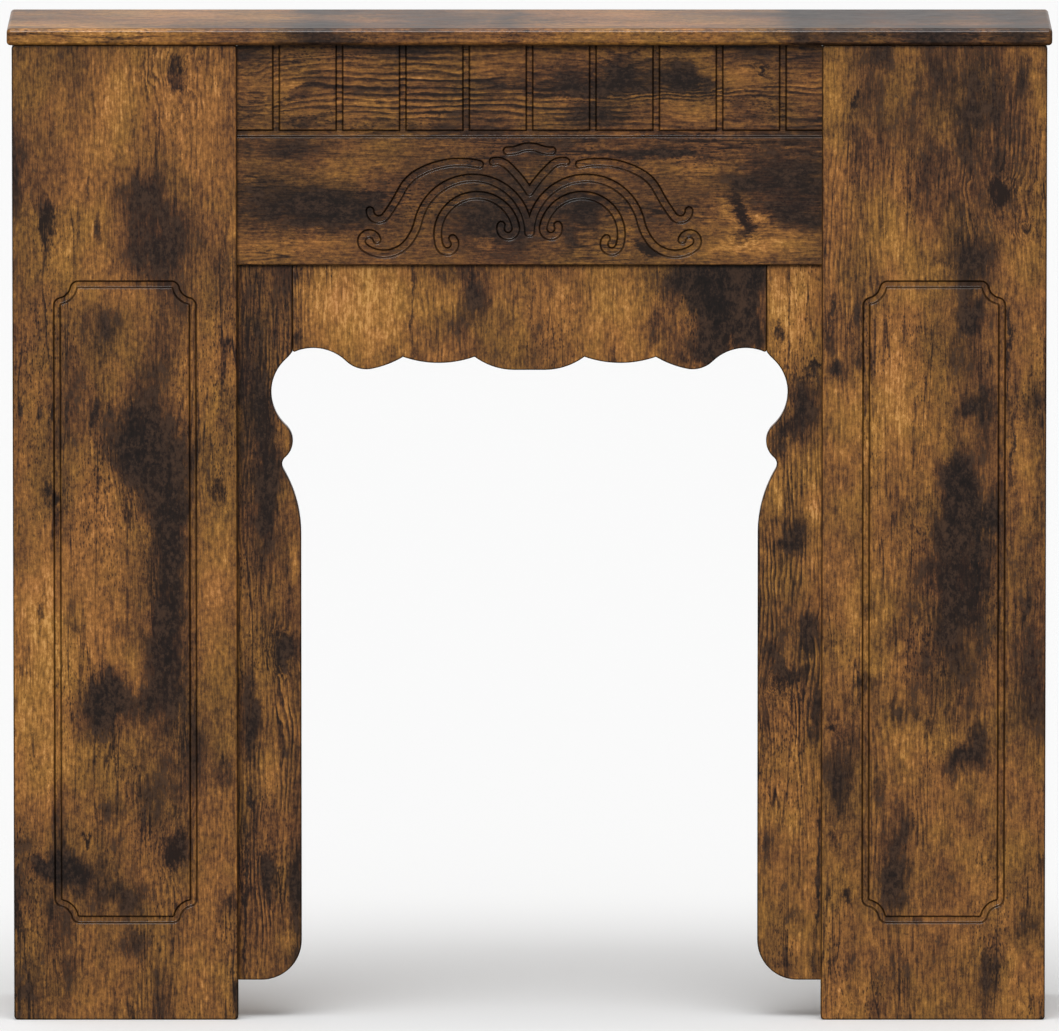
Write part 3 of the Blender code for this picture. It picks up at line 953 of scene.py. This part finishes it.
# %% Marks on the left pilaster
LEFT_PILASTER_MARKS = (
    (-415, 884, 29, 25, 0.9), (-401, 825, 36, 32, 0.9), (-375, 754, 17, 34, 0.6), (-443, 737, 18, 22, 0.8),
    (-321, 780, 13, 45, 0.6), (-543, 900, 8, 30, 0.7), (-347, 1016, 11, 13, 0.5), (-417, 944, 13, 15, 0.4),
    (-401, 597, 38, 42, 1.2), (-422, 616, 16, 30, 0.6), (-380, 526, 14, 30, 0.9), (-385, 470, 20, 36, 0.7),
    (-384, 388, 20, 50, 1.0), (-448, 353, 17, 17, 0.9), (-401, 680, 22, 42, 0.55),
    (-320, 649, 7, 32, 0.55), (-524, 493, 15, 18, 0.4), (-434, 418, 11, 9, 0.5), (-479, 423, 10, 10, 0.4),
    (-454, 328, 23, 25, 0.95), (-412, 340, 22, 14, 0.85), (-384, 277, 26, 70, 0.6),
    (-500, 203, 9, 32, 0.9), (-479, 161, 26, 15, 1.1), (-512, 161, 16, 8, 0.6), (-441, 228, 10, 12, 0.5),
    (-322, 267, 6, 16, 0.6), (-433, 131, 28, 16, 0.7), (-418, 84, 10, 12, 0.5), (-313, 18, 8, 18, 1.0),
    (-388, 25, 8, 24, 0.5), (-490, 39, 8, 18, 0.5), (-316, 124, 7, 10, 0.7), (-348, 298, 12, 40, 0.4),
    (-516, 436, 1.5, 20, 1.2), (-535, 648, 2, 9, 1.1), (-520, 652, 2, 10, 1.1), (-505, 645, 2, 8, 1.1),
    (-488, 650, 2, 9, 0.9), (-458, 648, 3, 10, 1.1), (-440, 652, 2, 8, 1.0), (-420, 646, 2, 9, 0.9),
    (-455, 840, 2, 16, 0.9), (-466, 880, 1.5, 14, 0.9),
    (-523, 447, 24, 180, -0.5), (-449, 976, 90, 70, -0.45), (-449, 552, 30, 60, -0.4),
    (-334, 457, 20, 100, -0.45), (-348, 966, 30, 60, -0.3), (-496, 801, 40, 50, -0.3),
    (-528, 97, 16, 40, -0.4), (-507, 256, 16, 60, -0.35),
)
LEFT_PILASTER_KNOTS = (
    (-506, 848, 6, 23, 1.0), (-370, 1005, 8, 19, 1.0), (-401, 590, 20, 24, 0.7), (-504, 560, 5, 9, 1.0),
    (-329, 564, 7, 12, 0.8), (-371, 181, 13, 17, 0.9), (-469, 199, 4, 4, 0.9), (-490, 161, 20, 10, 0.7),
    (-399, 1010, 14, 40, 0.0),
)
LEFT_PILASTER_FIGURE = ((-401, 995, 60, 50, 0.9), (-401, 590, 60, 60, 0.7), (-340, 860, 30, 60, 0.5))
print(len(LEFT_PILASTER_MARKS), "marks and", len(LEFT_PILASTER_KNOTS), "knots")

# %% [markdown]
# The right pilaster's print: a dark upper corner around one large knot, and a long sooty patch in the
# panel.

# %% Marks on the right pilaster
RIGHT_PILASTER_MARKS = (
    (467, 944, 42, 90, 0.65), (420, 1003, 20, 25, 0.4), (518, 1005, 7, 17, 0.9), (371, 1022, 11, 11, 0.8),
    (324, 949, 15, 9, 0.6), (467, 812, 19, 30, 0.6), (433, 808, 8, 6, 0.5), (322, 693, 8, 12, 0.95),
    (317, 736, 7, 14, 0.9), (467, 749, 10, 14, 0.8), (467, 657, 17, 11, 1.0), (532, 658, 12, 15, 0.9),
    (531, 632, 5, 18, 0.5), (450, 572, 14, 26, 0.85), (451, 531, 18, 52, 0.6), (484, 532, 11, 14, 0.9),
    (441, 431, 34, 80, 0.75), (420, 478, 18, 16, 0.4), (380, 404, 14, 12, 0.8), (380, 447, 14, 20, 0.3),
    (358, 443, 5, 9, 0.7), (349, 363, 9, 7, 0.8), (531, 443, 14, 12, 0.5), (525, 351, 20, 45, 0.6),
    (390, 328, 17, 10, 0.7), (360, 351, 7, 10, 0.7), (460, 276, 19, 11, 1.1), (472, 300, 6, 16, 0.7),
    (451, 286, 7, 9, 0.6), (465, 219, 9, 36, 0.5), (388, 214, 12, 18, 0.6), (386, 159, 15, 28, 0.9),
    (327, 251, 11, 30, 0.6), (486, 39, 11, 44, 0.95), (523, 100, 14, 16, 0.5), (341, 64, 7, 22, 0.6),
    (370, 12, 10, 14, 0.5), (541, 6, 5, 14, 0.7), (505, 715, 1.6, 50, 1.1), (511, 610, 1.6, 50, 1.1),
    (471, 505, 1.6, 48, 1.1), (335, 725, 12, 30, 0.4), (325, 700, 3, 10, 0.9), (343, 745, 3, 12, 0.9),
    (350, 700, 2, 10, 0.8), (318, 760, 2, 10, 0.8),
    (322, 891, 12, 140, -0.5), (398, 637, 36, 50, -0.35), (520, 595, 12, 60, -0.5),
    (372, 860, 25, 50, -0.25), (522, 817, 14, 50, -0.3), (420, 298, 24, 20, -0.35),
    (510, 235, 20, 90, -0.25), (425, 97, 50, 20, -0.2), (439, 946, 10, 8, -0.5), (335, 743, 10, 22, -0.5),
)
RIGHT_PILASTER_KNOTS = (
    (494, 879, 14, 13, 1.0), (344, 977, 4, 5, 0.9), (526, 840, 5, 5, 0.8), (317, 313, 6, 6, 0.8),
    (336, 134, 6, 6, 0.8), (319, 185, 6, 8, 0.5),
)
RIGHT_PILASTER_FIGURE = ((490, 880, 45, 60, 0.8), (516, 913, 30, 40, 0.4), (330, 780, 20, 200, 0.3))
print(len(RIGHT_PILASTER_MARKS), "marks and", len(RIGHT_PILASTER_KNOTS), "knots")

# %% [markdown]
# Each pilaster is made from its outline, routed with its panel line, and wrapped in its own print.

# %% Pilasters
EDGE_ROUNDING = 0.002

PRINTS = {
    "pilaster_left": printed_wood(
        "print_pilaster_left", "up", LEFT_PILASTER_MARKS, LEFT_PILASTER_KNOTS, LEFT_PILASTER_FIGURE,
        seed=0.0, base=0.55),
    "pilaster_right": printed_wood(
        "print_pilaster_right", "up", RIGHT_PILASTER_MARKS, RIGHT_PILASTER_KNOTS, RIGHT_PILASTER_FIGURE,
        seed=3.1, base=0.55),
}
for node in ("pilaster_left", "pilaster_right"):
    node_low, node_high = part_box(node)
    face = rounded_rectangle(node_low.x, node_high.x, node_low.z, node_high.z, PILASTER_CORNER)
    board = shaped_board(node + "_board", face, node, EDGE_ROUNDING)
    rout(board, [swept_bit("panel_line", panel_line(node), True, *PANEL_BIT, node_low.y)])
    finish_board(board, node, PRINTS[node], bare)

# %% [markdown]
# The frieze is a thinner board set back between the pilasters. Nine upright lines above one level line make
# it look like a row of narrow boards. They are cut with the same bit as the panel lines.

# %% Bead lines of the frieze
BEAD_RAIL_DROP = 0.095  # from the shelf down to the level line
BEAD_PITCH = 0.0667  # from one upright line to the next
PAST_THE_END = 0.02  # how far a cutter runs out past the board


def bead_cutters(node_low, node_high):
    """Make the cutters of the level line and the upright lines above it."""
    rail = shelf_low.z - BEAD_RAIL_DROP
    across = [(node_low.x - PAST_THE_END, rail), (node_high.x + PAST_THE_END, rail)]
    cutters = [swept_bit("rail", across, False, *PANEL_BIT, node_low.y)]
    count = int((node_high.x - PANEL_BIT[0]) / BEAD_PITCH)
    for index in range(-count, count + 1):
        upright = [(index * BEAD_PITCH, rail), (index * BEAD_PITCH, node_high.z + PAST_THE_END)]
        cutters.append(swept_bit("bead", upright, False, *PANEL_BIT, node_low.y))
    return cutters


frieze_low, frieze_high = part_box("frieze_panel")
print("the frieze is %.0f by %.0f mm" % tuple((frieze_high - frieze_low)[axis] / MM for axis in (0, 2)))

# %% [markdown]
# Below the level line is the ornament: five strands on each side, mirrored about the middle. A scroll is a
# chain of arcs that meet without a kink, so each strand is a start, a heading and a few arcs, measured in
# squares of 10 mm, the way a carver enlarges a drawing.

# %% Scroll ornament
ORNAMENT_BIT = (0.0090, 0.0067)
SQUARE = 0.010
ORNAMENT_RISE = 0.078  # from the foot of the frieze up to the middle of the ornament
STRANDS = {
    "outer_scroll": ((-5.26, 2.92), 166.7, (
        ("arc", 8.96, 43.0), ("arc", 4.25, 33.2), ("arc", 20.4, -9.2), ("arc", 0.91, -145.6))),
    "long_scroll": ((-0.10, -4.31), 90.9, (
        ("arc", 5.88, 166.2), ("arc", 5.65, -24.7), ("arc", 3.31, -89.9), ("arc", 0.82, -222.0))),
    "heart_scroll": ((-8.10, -4.94), -45.0, (
        ("arc", 0.81, -191.4), ("arc", 1.57, -20.4), ("arc", 4.15, -182.5), ("arc", 0.81, -217.0))),
    "leaf": ((-3.82, 3.22), 13.1, (
        ("arc", 1.63, -56.1), ("arc", 14.4, -14.6))),
    "cap": ((-2.36, 4.36), -3.0, (
        ("arc", 3.00, 25.0), ("arc", 2.90, -22.0))),
}


def ornament_cutters(node_low):
    """Make the cutters of every strand, its mirror image and their round ends."""
    middle = node_low.z + ORNAMENT_RISE
    cutters = []
    for label, (start, heading, steps) in STRANDS.items():
        place = (start[0] * SQUARE, middle + start[1] * SQUARE)
        left = walk(place, heading, steps, SQUARE)
        for points in (left, flip(left)):
            cutters.append(swept_bit(label, points, False, *ORNAMENT_BIT, node_low.y))
            for end in (points[0], points[-1]):
                cutters.append(turned_bit(label + "_end", end, *ORNAMENT_BIT, node_low.y))
    return cutters


print(2 * len(STRANDS), "strands")

# %% [markdown]
# The frieze's print runs across. Growth lines show strongly behind the beads, and the part around the
# ornament is dark, with gold at its foot and on the right.

# %% Marks on the frieze
FRIEZE_MARKS = (
    (-229, 991, 20, 9, 0.6), (-171, 987, 26, 6, 0.6), (-38, 997, 18, 6, 0.6), (-122, 1027, 24, 8, 0.5),
    (32, 993, 30, 14, 0.8), (100, 1001, 24, 18, 0.8), (163, 997, 22, 16, 0.9), (232, 1026, 26, 9, 0.9),
    (-296, 1023, 14, 12, 0.5), (-291, 980, 14, 18, 0.4), (-232, 954, 20, 8, 0.5), (65, 959, 30, 8, 0.6),
    (288, 1023, 16, 9, 0.6), (-254, 869, 62, 24, 1.0), (-195, 864, 50, 20, 0.7), (-255, 926, 34, 9, 0.6),
    (-44, 850, 44, 24, 0.7), (-137, 890, 40, 12, 0.4), (125, 922, 52, 2.5, 0.9), (270, 890, 40, 20, 0.95),
    (274, 858, 34, 14, 0.9), (224, 890, 24, 14, 0.5), (49, 860, 18, 14, 0.9), (38, 830, 7, 9, 0.7),
    (-255, 992, 12, 5, -0.5), (-187, 1011, 26, 6, -0.5), (-118, 1006, 20, 7, -0.45),
    (-105, 963, 28, 8, -0.5), (-52, 1010, 22, 5, -0.5), (-54, 990, 14, 5, -0.5), (-171, 974, 28, 3, -0.6),
    (10, 1000, 8, 3, -0.7), (31, 974, 26, 2.5, -0.6), (171, 968, 26, 9, -0.6), (220, 1003, 22, 14, -0.6),
    (293, 996, 14, 8, -0.5), (182, 1012, 10, 14, -0.5), (240, 853, 7, 4, -1.2), (207, 856, 6, 10, -0.8),
    (263, 826, 50, 13, -0.8), (169, 907, 34, 8, -0.6), (201, 818, 40, 10, -0.6), (97, 842, 20, 16, -0.3),
    (-105, 927, 60, 10, -0.35), (75, 911, 50, 12, -0.3), (-254, 821, 60, 8, -0.4), (-40, 825, 10, 3, -0.8),
    (-169, 906, 30, 8, -0.25),
)
FRIEZE_KNOTS = (
    (252, 1005, 4, 5, 1.0), (223, 850, 7, 24, 0.9), (121, 819, 8, 10, 1.0),
    (-294, 990, 16, 18, 0.1), (100, 1001, 14, 12, 0.4), (163, 999, 14, 12, 0.6),
)
FRIEZE_FIGURE = (
    (-200, 985, 160, 45, 1.0), (0, 985, 160, 40, 1.0), (200, 985, 160, 45, 1.3), (223, 850, 30, 30, 0.6))
print(len(FRIEZE_MARKS), "marks and", len(FRIEZE_KNOTS), "knots")

# %% [markdown]
# The frieze fills the space between the pilasters to a hairline, so no light shows through. Only its lower
# edge is free, so only that one is rounded.

# %% Frieze
HAIRLINE = 0.00002  # gap between boards that touch in the real thing
LOWER_EDGE = 0.001  # an edge this close to the foot is the lower one

frieze_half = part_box("pilaster_right")[0].x - HAIRLINE
frieze_outline = [(-frieze_half, frieze_low.z), (frieze_half, frieze_low.z)]
frieze_outline += [(frieze_half, frieze_high.z), (-frieze_half, frieze_high.z)]
frieze = shaped_board("frieze_board", frieze_outline, "frieze_panel", EDGE_ROUNDING,
                      below=frieze_low.z + LOWER_EDGE)
rout(frieze, bead_cutters(frieze_low, frieze_high) + ornament_cutters(frieze_low))
PRINTS["frieze_panel"] = printed_wood(
    "print_frieze", "across", FRIEZE_MARKS, FRIEZE_KNOTS, FRIEZE_FIGURE, seed=6.3, base=0.48, ring_pitch=7.0)
finish_board(frieze, "frieze_panel", PRINTS["frieze_panel"], bare)

# %% [markdown]
# The valance closes the top of the opening. Its lower edge is a row of lobes with cusps between them,
# walked from the middle to one end and mirrored. The steps are shares of half the valance's width.

# %% Valance
VALANCE_EDGE = (
    ("line", 0.063),
    ("arc", 0.283, -36.6),
    ("corner", 56.2),
    ("arc", 0.452, -39.0),
    ("corner", 50.1),
    ("arc", 0.419, -19.2),
    ("arc", 0.123, -55.5),
    ("arc", 0.200, 66.8),
)
VALANCE_END_DROOP = 22.8  # degrees by which the lower edge falls where its end corner starts
SAWN_ROUNDING = 0.0018  # a little less than the valance's end corners, so they don't close up


def valance_edge():
    """Walk the valance's lower edge from the middle to its left end."""
    valance_low, valance_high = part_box("valance")
    *points, end = walk((0, valance_low.z), 180, VALANCE_EDGE, valance_high.x)
    reach = EDGE_ROUNDING * (1 + math.sin(math.radians(VALANCE_END_DROOP)))
    corner = (("arc", EDGE_ROUNDING, -90 - VALANCE_END_DROOP),)
    return points + walk((valance_low.x + reach, end[1]), 180 + VALANCE_END_DROOP, corner)


def valance_outline():
    valance_low, valance_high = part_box("valance")
    left = valance_edge() + [(valance_low.x, valance_high.z)]
    return left[::-1] + [(-x, z) for x, z in left[1:]]


print("the valance's outline has", len(valance_outline()), "points")

# %% [markdown]
# The jambs stand beside the valance and end in a hollow, a nose and a long sweep down to the straight edge.
# The steps are shares of the shaped stretch's height. The right jamb is the left one mirrored.

# %% Jambs
JAMB_EDGE = (
    ("arc", 0.703, 30.4),
    ("arc", 0.051, -79.6),
    ("arc", 0.118, 96.3),
    ("arc", 0.248, -94.6),
    ("arc", 0.232, 13.0),
)
JAMB_REACH = 0.009  # from the valance's end to the jamb's straight edge
JAMB_FOOT_RADIUS = 0.0425
JAMB_SHAPE_RISE = 0.1935  # height of the shaped stretch
JAMB_SHAPE_DROP = 0.0018  # from the valance's end corner down to the top of that stretch


def jamb_outline():
    """Walk the left jamb: down its outer edge, round its foot and up the shaped edge."""
    jamb_low, jamb_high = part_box("jamb_left")
    valance_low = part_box("valance")[0]
    edge_x = valance_low.x + JAMB_REACH
    head_x = valance_low.x - HAIRLINE
    shape_foot = valance_edge()[-1][1] - JAMB_SHAPE_DROP - JAMB_SHAPE_RISE
    outline = [(jamb_low.x, jamb_high.z), (jamb_low.x, jamb_low.z)]
    outline += walk((edge_x - JAMB_FOOT_RADIUS, jamb_low.z), 0, (("arc", JAMB_FOOT_RADIUS, 90),))
    outline += walk((edge_x, shape_foot), 90, JAMB_EDGE, JAMB_SHAPE_RISE)
    outline += [(head_x, outline[-1][1]), (head_x, jamb_high.z)]
    return outline


left_jamb = jamb_outline()
print("a jamb's outline has", len(left_jamb), "points")

# %% [markdown]
# The valance's print is golden on the left and sooty at its right end. The left jamb is the darkest
# upright, with growth lines all the way, and the right one is lighter, with three small knots.

# %% Marks on the valance and jambs
VALANCE_MARKS = (
    (-246, 795, 6, 7, 1.0), (-211, 724, 7, 22, 0.5), (-164, 785, 20, 7, 0.35), (-144, 711, 6, 14, 0.7),
    (-244, 718, 4, 8, 0.8), (-60, 772, 13, 24, 0.9), (-85, 737, 18, 14, 0.4), (-84, 798, 16, 6, 0.4),
    (7, 766, 10, 7, 0.4), (182, 782, 46, 18, 1.1), (206, 756, 24, 36, 1.1), (230, 729, 14, 20, 0.9),
    (195, 713, 12, 22, 0.9), (134, 737, 6, 16, 0.8), (172, 708, 16, 10, 0.6), (81, 724, 5, 24, 0.5),
    (235, 788, 10, 14, 0.6), (-124, 750, 1.3, 52, 1.0),
    (-190, 761, 62, 54, -0.8), (33, 761, 12, 26, -0.4), (76, 729, 10, 26, -0.35), (-30, 750, 20, 20, -0.2),
    (140, 761, 26, 16, -0.2), (214, 718, 3, 8, -1.0),
)
LEFT_JAMB_MARKS = (
    (-275, 559, 9, 64, 0.9), (-297, 740, 12, 64, 0.6), (-291, 580, 14, 90, 0.3), (-257, 394, 12, 14, 1.0),
    (-259, 463, 5, 24, 0.6), (-295, 307, 9, 40, 0.9), (-258, 280, 7, 15, 0.6), (-276, 151, 9, 16, 1.0),
    (-247, 144, 7, 36, 0.9), (-284, 655, 10, 40, 0.5), (-246, 60, 6, 30, 0.4), (-292, 215, 1.5, 36, 1.1),
    (-302, 110, 1.5, 68, 1.0),
    (-259, 621, 6, 14, -0.7), (-254, 548, 9, 20, -0.5), (-250, 486, 6, 16, -0.8), (-278, 357, 8, 30, -0.6),
    (-302, 431, 8, 60, -0.35), (-254, 335, 5, 18, -0.5), (-278, 261, 8, 30, -0.5),
    (-297, 263, 6, 12, -0.6), (-255, 85, 10, 14, -0.6), (-295, 50, 14, 12, -0.5), (-284, 186, 8, 30, -0.3),
)
RIGHT_JAMB_MARKS = (
    (287, 655, 14, 30, 1.1), (265, 620, 12, 16, 1.0), (280, 518, 12, 20, 1.0), (262, 505, 20, 6, 0.6),
    (297, 404, 10, 22, 1.0), (278, 365, 18, 7, 0.8), (301, 323, 8, 26, 1.0), (250, 184, 7, 22, 0.6),
    (306, 154, 4, 70, 0.7), (305, 48, 5, 20, 0.5), (305, 158, 1.5, 76, 0.8),
    (278, 761, 20, 40, -0.3), (299, 548, 8, 20, -0.7), (259, 548, 10, 14, -0.4), (256, 452, 12, 40, -0.5),
    (280, 82, 8, 10, -0.6), (267, 271, 16, 60, -0.25), (278, 601, 12, 16, -0.3),
)
LEFT_JAMB_KNOTS = ((-257, 394, 8, 9, 0.5),)
RIGHT_JAMB_KNOTS = ((263, 729, 5, 6, 1.0), (300, 696, 8, 5, 1.0), (265, 353, 8, 5, 0.7))
VALANCE_FIGURE = ((-100, 750, 20, 60, 0.6),)
LEFT_JAMB_FIGURE = ((-275, 400, 60, 450, 1.0),)
RIGHT_JAMB_FIGURE = ((275, 400, 60, 450, 0.8),)
print(len(VALANCE_MARKS) + len(LEFT_JAMB_MARKS) + len(RIGHT_JAMB_MARKS), "marks on three boards")

# %% [markdown]
# All three are sawn shapes with rounded front edges, so one loop makes them.

# %% Boards around the opening
PRINTS["valance"] = printed_wood(
    "print_valance", "up", VALANCE_MARKS, (), VALANCE_FIGURE, seed=9.4, base=0.58)
PRINTS["jamb_left"] = printed_wood(
    "print_jamb_left", "up", LEFT_JAMB_MARKS, LEFT_JAMB_KNOTS, LEFT_JAMB_FIGURE, seed=12.7, base=0.44,
    ring_pitch=5.0)
PRINTS["jamb_right"] = printed_wood(
    "print_jamb_right", "up", RIGHT_JAMB_MARKS, RIGHT_JAMB_KNOTS, RIGHT_JAMB_FIGURE, seed=15.2, base=0.60,
    ring_pitch=5.0)
outlines = {"valance": valance_outline(), "jamb_left": left_jamb, "jamb_right": flip(left_jamb)}
for node, outline in outlines.items():
    board = shaped_board(node + "_board", outline, node, SAWN_ROUNDING)
    finish_board(board, node, PRINTS[node], bare)

# %% [markdown]
# The shelf is one board that covers everything else, wrapped on its top and all its edges, with the grain
# along it. A block the size of its node with all its edges rounded is enough. Its patches run from front to
# back, so the same ones show on its top and its front edge.

# %% Shelf
SHELF_ROUNDING = 0.004
FULL = 3000  # half height of a mark that runs over the whole board
SHELF_MARKS = (
    (-220, 1000, 26, FULL, 0.7), (-105, 1000, 40, FULL, 0.3), (281, 1000, 16, FULL, 0.65),
    (334, 1000, 40, FULL, 0.5), (418, 1000, 30, FULL, 0.65), (508, 1000, 20, FULL, 0.5),
    (-20, 1000, 14, FULL, 0.5), (-400, 1000, 120, FULL, -0.45), (118, 1000, 110, FULL, -0.5),
)


def plain_board(name, node, radius):
    """Make a plain board the size of a node, with every edge rounded."""
    node_low, node_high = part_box(node)
    bpy.ops.mesh.primitive_cube_add(size=1, location=(0, 0, 0))
    item = bpy.context.object
    item.name = name
    size = node_high - node_low
    item.data.transform(Matrix.Translation((node_low + node_high) / 2) @ Matrix.Diagonal((*size, 1)))
    round_edges(item, radius, lambda edge: True)
    return item


shelf_print = printed_wood("print_shelf", "across", SHELF_MARKS, seed=18.5, base=0.50, painted_shade=0.0)
shelf = plain_board("mantel_shelf_board", "mantel_shelf", SHELF_ROUNDING)
finish_board(shelf, "mantel_shelf", shelf_print, bare, lambda face: face.normal.z < -SQUARELY)

# %% [markdown]
# The side panels are plain boards behind the pilasters. They are wrapped on the outside only, because
# nobody sees the inside once the surround stands at the wall.

# %% Side panels
SIDE_ROUNDING = 0.001
OUTWARD = 0.5  # how far a face's normal must point out to be wrapped

for side, node in ((-1, "side_panel_left"), (1, "side_panel_right")):
    panel = plain_board(node + "_board", node, SIDE_ROUNDING)
    side_print = printed_wood("print_" + node, "up", seed=21.0 + side, base=0.56, painted_shade=0.0)
    finish_board(panel, node, side_print, bare, lambda face: face.normal.x * side < OUTWARD)

# %% [markdown]
